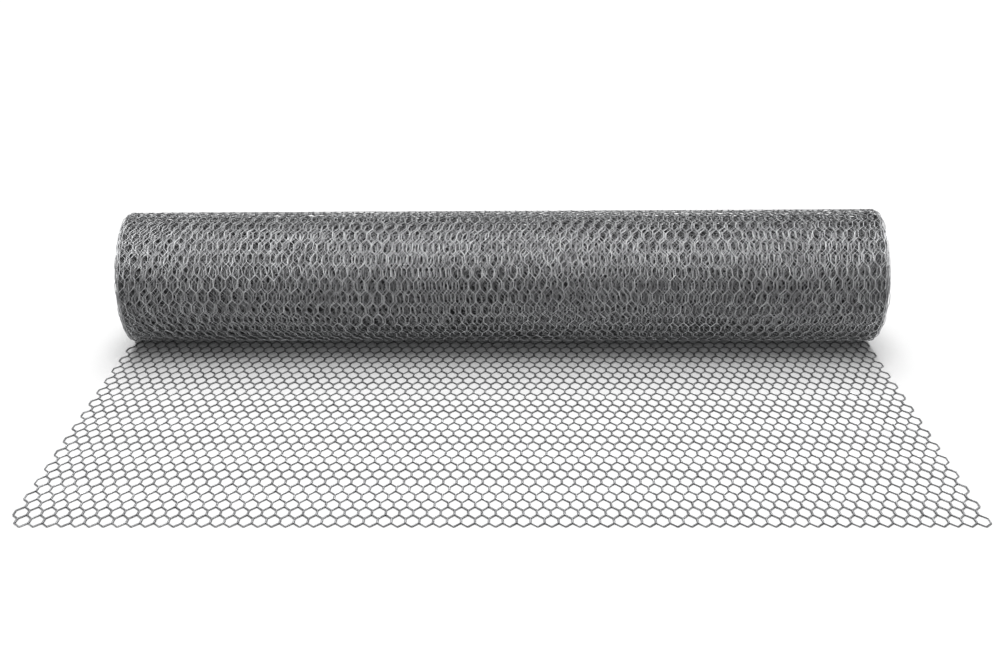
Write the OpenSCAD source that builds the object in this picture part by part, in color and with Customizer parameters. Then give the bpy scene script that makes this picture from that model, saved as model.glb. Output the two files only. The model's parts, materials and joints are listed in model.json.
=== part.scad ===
// Roll of hexagonal wire netting, lying on its side with its loose end unrolled on the floor.
//
// The netting is one length. Most of it is wound round and round a line that runs along X. The
// outermost turn leaves the winding at the floor and runs forward, along -Y, as a flat sheet.
// Sizes are in millimetres. The origin is on the floor, under the middle of the whole object.

/* [Netting] */
// Width of the netting, over its edges
net_w = 900; // [300:10:1800]
// Number of meshes across the width
meshes_across = 70; // [20:1:100]
// Diameter of the wire
wire_d = 0.9; // [0.5:0.1:1.4]
// Length of the twisted side of a mesh, along the netting
twist_len = 9.1; // [6:0.1:14]
// Length that a slanted side of a mesh covers, along the netting
slant_len = 6.1; // [4:0.1:10]

/* [Winding] */
// Outside diameter of the winding
roll_d = 160; // [120:1:320]
// How much narrower the winding is than the netting, whose edges are drawn in by the tension
draw_in = 8; // [2:1:20]
// Diameter of the hollow through the middle
bore_d = 50; // [30:1:90]
// Radial room that one turn takes, at least
turn_pitch = 1.83; // [1.4:0.01:4]
// Gap between the edges of two turns, on the ends
turn_gap = 0.7; // [0.3:0.1:1.2]
// Depth of that gap, into the end
turn_depth = 4; // [1:0.5:12]
// How far the edge of a turn may lie back from the widest one
turn_wander = 1.5; // [0:0.5:3]

/* [Loose end] */
// Length that lies flat, from the first tips to the line where the winding rests
flat_len = 465; // [150:5:900]
// Number of bands that the flat sheet is cut across into
band_count = 10; // [6:1:14]
// How far forward of the resting line the sheet's solid root starts
root_start = 8; // [5:0.5:12]

/* [Hidden] */
$fn = 96;
roll_r = roll_d / 2;
bore_r = bore_d / 2;
roll_w = net_w - draw_in;
turns = floor((roll_r - bore_r) / turn_pitch);
turn_step = (roll_r - bore_r) / turns;

sheet_t = 2 * wire_d; // two wires, twisted together
mesh_w = (net_w - wire_d) / (meshes_across + 0.5);
row_len = twist_len + slant_len;

// Half a wire, measured along Y on a slanted side. A tip stands out this far.
tip_out = wire_d / 2 / cos(atan2(slant_len, mesh_w / 2));
// How far a corner moves along Y when its two sides move outwards by half a wire.
corner_shift = wire_d / 2 * tan(atan2(mesh_w / 2, slant_len) / 2);

// The winding rests on the floor along the line y = rest_y.
rest_y = (flat_len - roll_r) / 2;
tips_y = rest_y - flat_len;

// The sheet is open meshes up to where the winding's underside comes down to it. From there its
// root is solid, and grows out of the winding.
root_end = sqrt(pow(roll_r, 2) - pow(roll_r - sheet_t, 2)) + 1;
last_row = floor((flat_len - tip_out - root_end - slant_len - twist_len / 2) / row_len);
bands = min(band_count, last_row);
band_rows = ceil(last_row / bands);

zinc = [0.60, 0.61, 0.62];

// ---- Winding --------------------------------------------------------------------------------

// The turns are counted from the bore outwards. Their edges wander in and out by this much.
function edge_back(turn) = turn_wander * (1 - cos(turn * 67)) / 2;

// One end of the winding, from the bore to the outside: each turn's edge, then the gap after it.
function end_points() = [
    for (turn = [0:turns - 1])
        let (
            inner = bore_r + turn * turn_step + (turn == 0 ? 0 : turn_gap / 2),
            outer = bore_r + (turn + 1) * turn_step - (turn == turns - 1 ? 0 : turn_gap / 2),
            edge = roll_w / 2 - edge_back(turn),
            foot = roll_w / 2 - turn_wander - turn_depth
        )
        for (p = turn == turns - 1
            ? [[inner, edge], [outer, edge]]
            : [[inner, edge], [outer, edge], [outer, foot], [outer + turn_gap, foot]])
            p
];

module winding() {
    color(zinc) {
        translate([0, rest_y, roll_r]) rotate([90, 0, 90]) rotate_extrude() polygon(concat(
            end_points(),
            [for (i = [len(end_points()) - 1:-1:0]) [end_points()[i].x, -end_points()[i].y]]
        ));
        sheet_root();
    }
}

// The strip of the sheet that lies under the curve of the winding.
module sheet_root() {
    start = row_mid(last_row);
    side = mesh_w * meshes_across / 2 - mesh_w / 4;
    translate([-side, start, 0]) cube([2 * side, rest_y - root_start - start, sheet_t]);
}

// ---- Flat sheet -----------------------------------------------------------------------------

// Rows are counted from the cut edge. Even rows sit half a mesh to the right of odd ones.
function is_right(row) = row % 2 == 0;
function row_mid(row) = tips_y + tip_out + row * row_len + slant_len + twist_len / 2;
function row_edge(row, side) = side * meshes_across * mesh_w / 2 + (is_right(row) ? 1 : -1) * mesh_w / 4;

// 1 where a row stands out at that side of the sheet, and -1 where it is set back.
function stands_out(row, side) = (side > 0) == is_right(row) ? 1 : -1;

// The outer face of a row's last twisted side: where it starts and where it ends.
function side_points(row, side) = [
    for (end = [-1, 1])
        [row_edge(row, side) + side * wire_d / 2,
         row_mid(row) + end * (twist_len / 2 + stands_out(row, side) * corner_shift)]
];

// The slanted sides of the first row, which end the sheet in a row of tips.
function tip_points() = [
    for (i = [1:2 * meshes_across - 1])
        [row_edge(0, -1) + i * mesh_w / 2, tips_y + (i % 2 == 1 ? 0 : slant_len)]
];

// The points of one side that lie between the middles of two rows, and those of the first row's
// start if the band is the one with the tips.
function band_side(first, last, side) = [
    for (row = [first:last], p = side_points(row, side))
        if ((p.y > row_mid(first) || first == 0) && p.y < row_mid(last)) p
];

module band_outline(first, last) {
    left = band_side(first, last, -1);
    cut = [for (row = [first, last], side = [-1, 1]) [side_points(row, side)[0].x, row_mid(row)]];
    polygon(concat(
        first == 0 ? tip_points() : [cut[0], cut[1]],
        band_side(first, last, 1),
        [cut[3], cut[2]],
        [for (i = [len(left) - 1:-1:0]) left[i]]
    ));
}

// What the wires leave open: one mesh, centred on the origin.
module mesh_hole() {
    half = mesh_w / 2 - wire_d;
    tip = twist_len / 2 + slant_len - tip_out;
    shoulder = tip - half * slant_len / (mesh_w / 2);
    polygon([[0, tip], [half, shoulder], [half, -shoulder], [0, -tip], [-half, -shoulder], [-half, shoulder]]);
}

// The row through which a band ends. Each band after it is left at least one row.
function band_end(i) = min(i * band_rows, last_row - (bands - i));

// A band of the sheet, cut through the middle of the twisted sides of two rows. The first band
// starts at the tips.
module flat_band(i) {
    first = i == 1 ? 0 : band_end(i - 1);
    last = band_end(i);
    color(zinc) linear_extrude(height = sheet_t) difference() {
        band_outline(first, last);
        for (row = [first:last], mesh = [0:meshes_across - 1])
            translate([row_edge(row, -1) + (mesh + 0.5) * mesh_w, row_mid(row)]) mesh_hole();
    }
}

winding();
for (i = [1:bands]) flat_band(i);
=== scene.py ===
import json
import math

import bpy
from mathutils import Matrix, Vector

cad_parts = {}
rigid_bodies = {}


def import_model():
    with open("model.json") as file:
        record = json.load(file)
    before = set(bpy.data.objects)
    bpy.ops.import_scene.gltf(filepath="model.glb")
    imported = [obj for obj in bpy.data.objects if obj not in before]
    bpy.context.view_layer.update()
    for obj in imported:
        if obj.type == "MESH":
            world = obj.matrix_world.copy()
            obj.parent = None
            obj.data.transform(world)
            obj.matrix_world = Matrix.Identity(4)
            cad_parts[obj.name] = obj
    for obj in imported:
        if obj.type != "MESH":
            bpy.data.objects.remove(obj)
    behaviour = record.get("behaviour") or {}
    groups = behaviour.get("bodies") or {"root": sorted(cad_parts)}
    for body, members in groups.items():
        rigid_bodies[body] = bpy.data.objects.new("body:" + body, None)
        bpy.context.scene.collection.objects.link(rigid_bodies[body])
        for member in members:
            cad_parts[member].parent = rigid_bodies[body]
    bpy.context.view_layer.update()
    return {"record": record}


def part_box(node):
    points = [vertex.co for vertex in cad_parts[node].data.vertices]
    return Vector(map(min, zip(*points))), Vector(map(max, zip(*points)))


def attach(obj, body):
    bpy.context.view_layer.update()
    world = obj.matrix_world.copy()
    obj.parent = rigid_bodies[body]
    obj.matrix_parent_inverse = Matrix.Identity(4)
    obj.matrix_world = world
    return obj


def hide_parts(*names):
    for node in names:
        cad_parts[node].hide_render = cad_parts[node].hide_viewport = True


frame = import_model()


# ---- The flat sheet ---------------------------------------------------------------------------
# The loose end of the netting. Its steel wires run the length of it in zigzags, and a machine
# twists each in turn with its left and its right neighbour, which leaves hexagonal meshes. The
# netting is then dipped in zinc, which seals the twists.

winding_low, winding_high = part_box("winding")
sheet_low, sheet_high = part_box("flat_band_1")
sheet_nodes = [f"flat_band_{number}" for number in range(1, 11)]

roll_radius = (winding_high[2] - winding_low[2]) / 2
rest_y = winding_high[1] - roll_radius
roll_width = winding_high[0] - winding_low[0]
net_width = sheet_high[0] - sheet_low[0]
flat_length = rest_y - sheet_low[1]
mounts = {mount["name"]: mount for mount in frame["record"]["mounts"]}
bore_radius = mounts["core_bore"]["dims"]["r_mm"] / 1000

wire_d = 0.0009
meshes_across = 70
wires = 2 * meshes_across + 1
mesh_width = (net_width - wire_d) / (meshes_across + 0.5)
twist_length = 0.0091
slant_length = 0.0061
row_length = twist_length + slant_length
tip_out = wire_d / 2 * math.hypot(1, slant_length / (mesh_width / 2))
turn_count = 30
turn_step = (roll_radius - bore_radius) / turn_count

# The winding lies a little to the right of the sheet's middle, and is a little fatter at its right
# end. The meshes along its edges are gathered. The turns under the outermost one spread a little
# wider than it does, and press out into its meshes.
off_middle = 0.0035
taper = 0.032
edge_strip = 1.5 * mesh_width
edge_gather = 0.0125
spread_wider = 0.0065
pressed_out = 0.0007


class Field:
    """A value that differs from point to point, so that a rule for the wires reads as a formula."""

    def __init__(self, tree, socket):
        self.tree, self.socket = tree, socket

    def maths(self, operation, *values):
        step = self.tree.nodes.new("ShaderNodeMath")
        step.operation = operation
        for socket, value in zip(step.inputs, (self, *values)):
            if isinstance(value, Field):
                self.tree.links.new(value.socket, socket)
            else:
                socket.default_value = value
        return Field(self.tree, step.outputs[0])

    def __add__(self, other):
        return self.maths("ADD", other)

    def __radd__(self, other):
        return self.maths("ADD", other)

    def __sub__(self, other):
        return self.maths("SUBTRACT", other)

    def __rsub__(self, other):
        return self.maths("MULTIPLY", -1.0).maths("ADD", other)

    def __mul__(self, other):
        return self.maths("MULTIPLY", other)

    def __rmul__(self, other):
        return self.maths("MULTIPLY", other)

    def __truediv__(self, other):
        return self.maths("DIVIDE", other)

    def ramp(self, start, end):
        """0 before start, 1 after end, and smooth between them."""
        step = self.tree.nodes.new("ShaderNodeMapRange")
        step.interpolation_type = "SMOOTHSTEP"
        self.tree.links.new(self.socket, step.inputs["Value"])
        step.inputs["From Min"].default_value = start
        step.inputs["From Max"].default_value = end
        return Field(self.tree, step.outputs["Result"])


def vector(tree, x, y, z):
    joined = tree.nodes.new("ShaderNodeCombineXYZ")
    for socket, value in zip(joined.inputs, (x, y, z)):
        if isinstance(value, Field):
            tree.links.new(value.socket, socket)
        else:
            socket.default_value = value
    return joined.outputs[0]


def sway(tree, across, along, seed, amount):
    """Three random values between about -amount and amount, the same at every run. They change
    slowly, about once for each unit of across and of along. The noise that they come from lies
    mostly within 0.4 of its middle."""
    noise = tree.nodes.new("ShaderNodeTexNoise")
    noise.inputs["Scale"].default_value = 1.0
    noise.inputs["Detail"].default_value = 1.0
    tree.links.new(vector(tree, across, along, seed), noise.inputs["Vector"])
    parts = tree.nodes.new("FunctionNodeSeparateColor")
    tree.links.new(noise.outputs["Color"], parts.inputs[0])
    return [(Field(tree, part) - 0.5) * (amount / 0.4) for part in parts.outputs[:3]]


def netting_tree():
    """Netting from one row to another: a zigzag of points for each wire, laid flat or wound, and
    then given the wire's thickness."""
    tree = bpy.data.node_groups.new("Netting", "GeometryNodeTree")
    tree.interface.new_socket("Geometry", in_out="OUTPUT", socket_type="NodeSocketGeometry")
    for name, kind, value in (
        ("First Row", "Int", 0),
        ("Rows", "Int", 10),
        ("First Wire", "Int", 0),
        ("Wires", "Int", wires),
        ("Mesh Width", "Float", mesh_width),
        ("Twist Length", "Float", twist_length),
        ("Slant Length", "Float", slant_length),
        ("Steps in a Twist", "Int", 8),
        ("Turns in a Twist", "Float", 2.0),
        ("Sides of a Wire", "Int", 3),
        ("Wire Thickness", "Float", wire_d),
        ("Wire Surface Radius", "Float", wire_d / 2),
        ("Winding Radius", "Float", roll_radius),
        ("Turn Step", "Float", turn_step),
        ("Seed", "Float", 0.0),
        ("Zinc", "Material", None),
    ):
        item = tree.interface.new_socket(name, in_out="INPUT", socket_type=f"NodeSocket{kind}")
        if value is not None:
            item.default_value = value
    given = tree.nodes.new("NodeGroupInput")
    named = {socket.name: Field(tree, socket) for socket in given.outputs[:-1]}

    steps = named["Steps in a Twist"]
    points_in_row = steps + 1.0
    points_in_wire = named["Rows"] * points_in_row + 1.0
    first_point = named["First Row"] * points_in_row - 1.0

    wire_line = tree.nodes.new("GeometryNodeMeshLine")
    tree.links.new(points_in_wire.socket, wire_line.inputs["Count"])
    side_by_side = tree.nodes.new("GeometryNodeMeshLine")
    tree.links.new(named["Wires"].socket, side_by_side.inputs["Count"])
    spread = tree.nodes.new("GeometryNodeInstanceOnPoints")
    tree.links.new(side_by_side.outputs[0], spread.inputs["Points"])
    tree.links.new(wire_line.outputs[0], spread.inputs["Instance"])
    lines = tree.nodes.new("GeometryNodeRealizeInstances")
    tree.links.new(spread.outputs[0], lines.inputs[0])

    # Which wire, which row and which step of the twist each point is.
    index = Field(tree, tree.nodes.new("GeometryNodeInputIndex").outputs[0])
    wire = (index / points_in_wire + 0.00001).maths("FLOOR")
    point = first_point + (index - wire * points_in_wire)
    wire = wire + named["First Wire"]
    row = ((point + 0.5) / points_in_row).maths("FLOOR")
    step = point - row * points_in_row
    odd = row.maths("FLOORED_MODULO", 2.0)

    # The twist that the wire is in, and the side of it that the wire starts on.
    mesh, twist_side, slant = named["Mesh Width"], named["Twist Length"], named["Slant Length"]
    twist = ((wire + odd + 0.5) / 2.0).maths("FLOOR")
    side = (wire + odd - twist * 2.0) * 2.0 - 1.0
    twist_x = (twist - meshes_across / 2 + (0.25 - odd * 0.5)) * mesh
    at_edge = twist_x.maths("ABSOLUTE").maths("GREATER_THAN", meshes_across / 2 * mesh)
    at_cut = row.maths("LESS_THAN", 0.0)
    reach = side * named["Wire Thickness"] * 0.5 * (1.0 - at_edge.maths("MAXIMUM", at_cut))
    angle = step / steps * named["Turns in a Twist"] * math.tau
    across = twist_x + reach * angle.maths("COSINE")
    above = reach * angle.maths("SINE")
    along = row * (twist_side + slant) + step / steps * twist_side + slant + (tip_out - flat_length)

    # How far the netting has changed from flat to wound, and how far the outermost turn, which is
    # loose, has settled into those under it. Along starts at the line where the roll rests.
    wound = along.ramp(-0.06, 0.03)
    settled = along.ramp(0.40, 0.90)

    # The flat sheet is even. The winding pulls askew, but less so at its edges.
    seed = named["Seed"]
    flat_sway = sway(tree, across * 30.0, along * 30.0, seed + 1.0, amount=0.0003)
    slow_sway = sway(tree, across * 5.0, along * 3.0, seed + 2.0, amount=0.0060)
    skew_sway = sway(tree, across * 4.0, along * 12.0, seed + 3.0, amount=0.0090)
    quick_sway = sway(tree, across * 45.0, along * 45.0, seed + 4.0, amount=0.0010)
    turn_sway = sway(tree, 0.0, along * 3.0, seed + 5.0, amount=0.0010)
    at_middle = 1.0 - (across * across * (4.0 / net_width**2)).ramp(0.80, 1.0)
    pulled = (slow_sway[0] + skew_sway[0]) * (at_middle * 0.9 + 0.1)
    askew = pulled + quick_sway[0] + turn_sway[0] * settled + off_middle

    # The meshes along the edges are gathered, so the others lie a little wider.
    into_edge = (across.maths("ABSOLUTE") - (net_width / 2 - edge_strip)).maths("MAXIMUM", 0.0)
    narrower = (net_width - roll_width) / 2 + edge_gather
    drawn_in = across.maths("SIGN") * into_edge * (narrower / edge_strip)
    wider = along.ramp(0.10, 0.80) * spread_wider + wound * (2 * edge_gather / net_width)

    across = across * (1.0 + wider) - drawn_in * wound + flat_sway[0] + wound * askew
    along = along + flat_sway[1] + wound * (slow_sway[1] + quick_sway[1])
    uneven = quick_sway[2] * (settled * 0.6 + 0.5)
    above = above + flat_sway[2] * 0.3 * (1.0 - wound) + wound * uneven

    # Flat up to the resting line, and from there a spiral that closes by one step in each turn.
    outer = named["Winding Radius"] - wire_d
    shrink = named["Turn Step"] / math.tau
    spiral = (outer * outer - along.maths("MAXIMUM", 0.0) * (2.0 * shrink)).maths("SQRT")
    turned = (outer - spiral) / shrink
    nested = (outer - spiral).ramp(0.0, 0.0025) * pressed_out
    fatter = 1.0 + across * taper
    radius = (spiral + nested - above) * fatter
    out_y = radius * turned.maths("SINE") + along.maths("MINIMUM", 0.0) + rest_y
    out_z = fatter * named["Winding Radius"] - radius * turned.maths("COSINE")
    place = tree.nodes.new("GeometryNodeSetPosition")
    tree.links.new(lines.outputs[0], place.inputs["Geometry"])
    tree.links.new(vector(tree, across, out_y, out_z), place.inputs["Position"])

    # The mesh that would lie outside the first row's corner isn't there.
    trim = tree.nodes.new("GeometryNodeDeleteGeometry")
    tree.links.new(place.outputs[0], trim.inputs["Geometry"])
    tree.links.new((at_edge * at_cut).socket, trim.inputs["Selection"])

    curves = tree.nodes.new("GeometryNodeMeshToCurve")
    tree.links.new(trim.outputs[0], curves.inputs[0])
    section = tree.nodes.new("GeometryNodeCurvePrimitiveCircle")
    tree.links.new(named["Sides of a Wire"].socket, section.inputs["Resolution"])
    tree.links.new(named["Wire Surface Radius"].socket, section.inputs["Radius"])
    drawn = tree.nodes.new("GeometryNodeCurveToMesh")
    tree.links.new(curves.outputs[0], drawn.inputs["Curve"])
    tree.links.new(section.outputs[0], drawn.inputs["Profile Curve"])
    drawn.inputs["Fill Caps"].default_value = True
    smooth = tree.nodes.new("GeometryNodeSetShadeSmooth")
    tree.links.new(drawn.outputs[0], smooth.inputs[0])
    real = tree.nodes.new("GeometryNodeRealizeInstances")
    tree.links.new(smooth.outputs[0], real.inputs[0])
    dipped = tree.nodes.new("GeometryNodeSetMaterial")
    tree.links.new(real.outputs[0], dipped.inputs["Geometry"])
    tree.links.new(named["Zinc"].socket, dipped.inputs["Material"])
    out = tree.nodes.new("NodeGroupOutput")
    tree.links.new(dipped.outputs[0], out.inputs[0])
    return tree


def zinc_material(name, dull, bright):
    """Hot-dipped zinc on drawn wire: dull and grey, a little brighter and smoother in patches, and
    uneven to the touch where it ran before it set."""
    finish = bpy.data.materials.new(name)
    finish.use_nodes = True
    tree = finish.node_tree
    shader = tree.nodes["Principled BSDF"]
    shader.inputs["Metallic"].default_value = 0.85
    place = tree.nodes.new("ShaderNodeTexCoord")
    patches = tree.nodes.new("ShaderNodeTexNoise")
    patches.inputs["Scale"].default_value = 90.0
    patches.inputs["Detail"].default_value = 3.0
    tree.links.new(place.outputs["Object"], patches.inputs["Vector"])
    tone = tree.nodes.new("ShaderNodeValToRGB")
    tone.color_ramp.elements[0].position = 0.30
    tone.color_ramp.elements[0].color = (dull, dull, dull * 1.02, 1)
    tone.color_ramp.elements[1].position = 0.75
    tone.color_ramp.elements[1].color = (bright, bright * 1.01, bright * 1.02, 1)
    tree.links.new(patches.outputs["Fac"], tone.inputs[0])
    tree.links.new(tone.outputs[0], shader.inputs["Base Color"])
    gloss = tree.nodes.new("ShaderNodeMapRange")
    gloss.inputs["To Min"].default_value = 0.55
    gloss.inputs["To Max"].default_value = 0.35
    tree.links.new(patches.outputs["Fac"], gloss.inputs["Value"])
    tree.links.new(gloss.outputs[0], shader.inputs["Roughness"])
    runs = tree.nodes.new("ShaderNodeTexNoise")
    runs.inputs["Scale"].default_value = 900.0
    tree.links.new(place.outputs["Object"], runs.inputs["Vector"])
    raised = tree.nodes.new("ShaderNodeBump")
    raised.inputs["Strength"].default_value = 0.3
    raised.inputs["Distance"].default_value = wire_d / 6
    tree.links.new(runs.outputs["Fac"], raised.inputs["Height"])
    tree.links.new(raised.outputs[0], shader.inputs["Normal"])
    return finish


netting = netting_tree()
zinc = zinc_material("galvanised_zinc", dull=0.27, bright=0.54)


def weave(name, first_row, end_row, replaced, surface, fine=True, first_wire=0, last_wire=wires,
          finish=zinc):
    """A stretch of netting, from one row of meshes to another, as one mesh. Fine wires twist round
    each other, and coarse ones run side by side. The surface is the radius of a wire's three-sided
    section, in wire diameters."""
    grown = bpy.data.objects.new(name + "_grown", bpy.data.meshes.new(name + "_grown"))
    bpy.context.scene.collection.objects.link(grown)
    maker = grown.modifiers.new("Netting", "NODES")
    maker.node_group = netting
    values = {
        "First Row": first_row,
        "Rows": end_row - first_row,
        "First Wire": first_wire,
        "Wires": last_wire - first_wire,
        "Mesh Width": mesh_width,
        "Twist Length": twist_length,
        "Slant Length": slant_length,
        "Steps in a Twist": 8 if fine else 1,
        "Turns in a Twist": 2.0 if fine else 0.0,
        "Sides of a Wire": 3,
        "Wire Thickness": wire_d,
        "Wire Surface Radius": wire_d * surface,
        "Winding Radius": roll_radius,
        "Turn Step": turn_step,
        "Seed": 0.0,
        "Zinc": finish,
    }
    for item in netting.interface.items_tree:
        if item.in_out == "INPUT":
            maker[item.identifier] = values[item.name]
    seen = bpy.context.evaluated_depsgraph_get()
    mesh = bpy.data.meshes.new_from_object(grown.evaluated_get(seen))
    mesh.name = name
    bpy.data.objects.remove(grown)
    piece = bpy.data.objects.new(name, mesh)
    bpy.context.scene.collection.objects.link(piece)
    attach(piece, "root")
    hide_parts(*replaced)


def row_at_turn(turn):
    """The row of meshes that lies where a turn starts, counted from the cut edge of the sheet."""
    outer = roll_radius - wire_d
    inner = outer - turn * turn_step
    wound = math.pi * (outer**2 - inner**2) / turn_step
    return round((flat_length + wound) / row_length)


sheet_end = row_at_turn(0)
mid_sheet = round(flat_length / row_length / 2)
weave("flat_sheet_front", 0, mid_sheet, sheet_nodes[:5], surface=0.88)
weave("flat_sheet_back", mid_sheet, sheet_end, sheet_nodes[5:], surface=0.88)


# ---- The outermost turn -----------------------------------------------------------------------
# The same netting, where it leaves the floor and goes once round the roll. Nothing holds it down,
# so it lies a little loose on the turns under it.

half_turn = round((row_at_turn(0) + row_at_turn(1)) / 2)
weave("outer_turn_rear", sheet_end, half_turn, ["winding"], surface=0.47)
weave("outer_turn_front", half_turn, row_at_turn(1), ["winding"], surface=0.47)


# ---- The turns under it -----------------------------------------------------------------------
# The next eight turns of the netting show through the meshes of the outermost one, and their
# meshes fall in and out of step. All but the first two of them have their zinc painted darker,
# as painted shade from the wires outside them.

first_packed = 9
# A copy of the zinc with both its tones painted darker: painted shade, not a different zinc.
painted_shade_zinc = zinc_material("painted_shade_zinc", dull=0.21, bright=0.42)
shaded = {"surface": 0.60, "fine": False, "finish": painted_shade_zinc}
weave("under_turns_1", row_at_turn(1), row_at_turn(3), ["winding"], surface=0.49, fine=False)
weave("under_turns_2", row_at_turn(3), row_at_turn(6), ["winding"], **shaded)
weave("under_turns_3", row_at_turn(6), row_at_turn(first_packed), ["winding"], **shaded)


# ---- The ends of the turns, and the turns round the bore --------------------------------------
# On its ends the roll shows the zigzag edges of every turn, as one tight spiral. Two of the turns
# that were wound first line the open bore, which nothing fills.

first_bore_turn, last_turn = 27, 29
edge_wires = 7
packed_rows = row_at_turn(first_packed), row_at_turn(first_bore_turn)
bore_rows = row_at_turn(first_bore_turn), row_at_turn(last_turn)
inner = {"surface": 0.72, "fine": False}
weave("turn_edges_left", *packed_rows, ["winding"], last_wire=edge_wires, **inner)
weave("turn_edges_right", *packed_rows, ["winding"], first_wire=wires - edge_wires, **inner)
weave("bore_turns", *bore_rows, ["winding"], **inner)


# ---- The packed turns ---------------------------------------------------------------------------
# Between those ends the middle turns lie too deep to see into, so a ring closes them off. Its
# surface carries the wires of the first turns in it, two tangled layers of them, dimmed, over
# near black: painted shade for the depth of the packed turns.

ring_outer = roll_radius - wire_d - first_packed * turn_step - 0.0012
ring_inner = roll_radius - wire_d - first_bore_turn * turn_step + 0.0016
ring_half = roll_width / 2 - edge_wires / 4 * mesh_width
ring_left, ring_right = off_middle - ring_half, off_middle + ring_half
around = 96
left_corners = (ring_left, ring_inner), (ring_left, ring_outer)
right_corners = (ring_right, ring_outer), (ring_right, ring_inner)
corners = left_corners + right_corners
ring_points, ring_faces, ring_places = [], [], []
for spoke in range(around):
    turned = math.tau * spoke / around
    for x, radius in corners:
        fatter = 1 + taper * x
        y = rest_y + fatter * radius * math.sin(turned)
        z = fatter * (roll_radius - radius * math.cos(turned))
        ring_points.append((x, y, z))
    here, there = spoke * 4, (spoke + 1) % around * 4
    for side in range(4):
        after = (side + 1) % 4
        ring_faces.append((here + side, there + side, there + after, here + after))
        for corner, forward in ((side, 0), (side, 1), (after, 1), (after, 0)):
            x, radius = corners[corner]
            ring_places.append((x + radius, (spoke + forward) / around * math.tau * ring_outer))
ring_mesh = bpy.data.meshes.new("packed_turns")
ring_mesh.from_pydata(ring_points, [], ring_faces)
unrolled = ring_mesh.uv_layers.new(name="unrolled")
for corner, place in enumerate(ring_places):
    unrolled.data[corner].uv = place
ring = bpy.data.objects.new("packed_turns", ring_mesh)
bpy.context.scene.collection.objects.link(ring)

packed_netting_painted_shade = bpy.data.materials.new("packed_netting_painted_shade")
packed_netting_painted_shade.use_nodes = True
tree = packed_netting_painted_shade.node_tree
shader = tree.nodes["Principled BSDF"]
shader.inputs["Metallic"].default_value = 0.3
shader.inputs["Roughness"].default_value = 0.6
place = tree.nodes.new("ShaderNodeUVMap")
place.uv_map = "unrolled"
layers = []
for offset in (0.0, 0.37):
    moved = tree.nodes.new("ShaderNodeMapping")
    moved.inputs["Location"].default_value = (offset, offset, 0)
    moved.inputs["Rotation"].default_value = (0, 0, offset)
    tree.links.new(place.outputs[0], moved.inputs["Vector"])
    meshes = tree.nodes.new("ShaderNodeTexVoronoi")
    meshes.voronoi_dimensions = "2D"
    meshes.feature = "DISTANCE_TO_EDGE"
    meshes.inputs["Scale"].default_value = 1 / mesh_width
    meshes.inputs["Randomness"].default_value = 0.7
    tree.links.new(moved.outputs[0], meshes.inputs["Vector"])
    layers.append(meshes.outputs["Distance"])
nearest = tree.nodes.new("ShaderNodeMath")
nearest.operation = "MINIMUM"
tree.links.new(layers[0], nearest.inputs[0])
tree.links.new(layers[1], nearest.inputs[1])
on_wire = tree.nodes.new("ShaderNodeMapRange")
on_wire.interpolation_type = "SMOOTHSTEP"
on_wire.inputs["From Min"].default_value = 0.11
on_wire.inputs["From Max"].default_value = 0.03
tree.links.new(nearest.outputs[0], on_wire.inputs["Value"])
# Near black between the wires and a dim zinc grey on them: painted shade of the deep turns.
tone = tree.nodes.new("ShaderNodeValToRGB")
tone.color_ramp.elements[0].color = (0.05, 0.05, 0.052, 1)
tone.color_ramp.elements[1].color = (0.27, 0.272, 0.275, 1)
tree.links.new(on_wire.outputs[0], tone.inputs[0])
tree.links.new(tone.outputs[0], shader.inputs["Base Color"])
raised = tree.nodes.new("ShaderNodeBump")
raised.inputs["Distance"].default_value = wire_d
tree.links.new(on_wire.outputs[0], raised.inputs["Height"])
tree.links.new(raised.outputs[0], shader.inputs["Normal"])
ring_mesh.materials.append(packed_netting_painted_shade)
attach(ring, "root")
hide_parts("winding")


# ---- The floor, the lights and the camera -----------------------------------------------------
# A plain pale floor under plain soft light, and the camera in front of the sheet, looking down on
# it. The floor casts no shadow, so that the low light reaches the winding through it.

floor_mesh = bpy.data.meshes.new("floor")
reach = 60.0
floor_corners = [(-reach, -reach, 0), (reach, -reach, 0), (reach, reach, 0), (-reach, reach, 0)]
floor_mesh.from_pydata(floor_corners, [], [(0, 1, 2, 3)])
floor = bpy.data.objects.new("floor", floor_mesh)
bpy.context.scene.collection.objects.link(floor)
pale = bpy.data.materials.new("pale_floor")
pale.use_nodes = True
pale.node_tree.nodes["Principled BSDF"].inputs["Base Color"].default_value = (0.65, 0.65, 0.65, 1)
pale.node_tree.nodes["Principled BSDF"].inputs["Roughness"].default_value = 0.9
floor_mesh.materials.append(pale)
floor.visible_shadow = False

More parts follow.
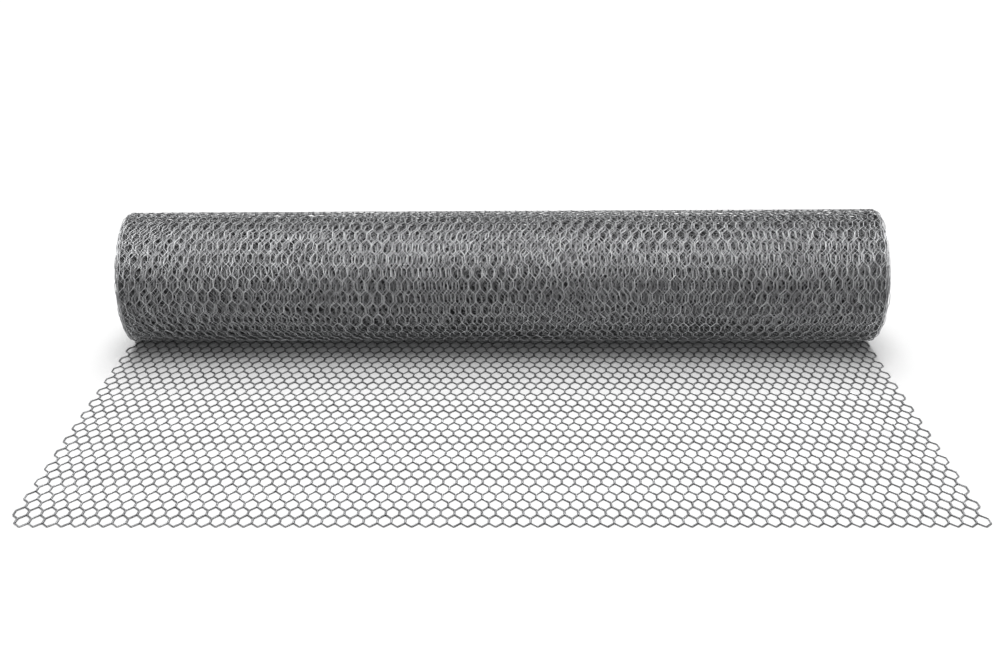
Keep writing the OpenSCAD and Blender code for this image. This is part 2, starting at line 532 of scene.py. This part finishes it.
world = bpy.data.worlds.new("studio")
bpy.context.scene.world = world
world.use_nodes = True
backdrop = world.node_tree.nodes["Background"]
backdrop.inputs["Color"].default_value = (1, 1, 1, 1)
ray = world.node_tree.nodes.new("ShaderNodeLightPath")
seen_or_lit = world.node_tree.nodes.new("ShaderNodeMapRange")
seen_or_lit.inputs["To Min"].default_value = 0.7
seen_or_lit.inputs["To Max"].default_value = 1.0
world.node_tree.links.new(ray.outputs["Is Camera Ray"], seen_or_lit.inputs["Value"])
world.node_tree.links.new(seen_or_lit.outputs[0], backdrop.inputs["Strength"])

# Three soft lights in a row light the sheet and the floor. Together they are long from front to
# back and narrow from side to side, and lean a little from behind.
row_of_lamps = []
for lean in (-37, -15, 7):
    row_light = bpy.data.lights.new("row", "SUN")
    row_light.angle = math.radians(36)
    row_light.energy = 1.09
    lamp = bpy.data.objects.new("row", row_light)
    lamp.rotation_euler = (math.radians(lean), 0, 0)
    row_of_lamps.append((lamp, "lit_sheet"))

# The winding has a soft light of its own, from above and a little in front of it.
overhead_light = bpy.data.lights.new("overhead", "SUN")
overhead_light.angle = math.radians(88)
overhead_light.energy = 7.1
overhead = bpy.data.objects.new("overhead", overhead_light)
overhead.rotation_euler = (math.radians(17), 0, 0)

# A weak one from low in front, a little from the right, opens up the winding's underside.
fill_light = bpy.data.lights.new("fill", "AREA")
fill_light.size = 1.5
fill_light.energy = 47.0
fill = bpy.data.objects.new("fill", fill_light)
fill.location = (0.5, rest_y - 0.72, roll_radius - 1.5)
to_winding = Vector((0.0, rest_y, roll_radius)) - fill.location
fill.rotation_euler = to_winding.to_track_quat("-Z", "Y").to_euler()

lit = {name: bpy.data.collections.new(name) for name in ("lit_winding", "lit_sheet")}
for piece in bpy.data.objects:
    if "turn" in piece.name:
        lit["lit_winding"].objects.link(piece)
    elif piece.type == "MESH":
        lit["lit_sheet"].objects.link(piece)
for lamp, name in (*row_of_lamps, (overhead, "lit_winding"), (fill, "lit_winding")):
    bpy.context.scene.collection.objects.link(lamp)
    lamp.light_linking.receiver_collection = lit[name]

camera_data = bpy.data.cameras.new("camera")
camera_data.sensor_width = 36.0
camera_data.lens = 47.42
camera = bpy.data.objects.new("camera", camera_data)
camera.location = (0.0008, rest_y - 1.5121, 0.6075)
camera.rotation_euler = (math.radians(90 - 21.71), 0, 0)
bpy.context.scene.collection.objects.link(camera)
bpy.context.scene.camera = camera

view = bpy.context.scene.view_settings
view.view_transform = "Standard"
view.look = "None"
view.gamma = 0.8
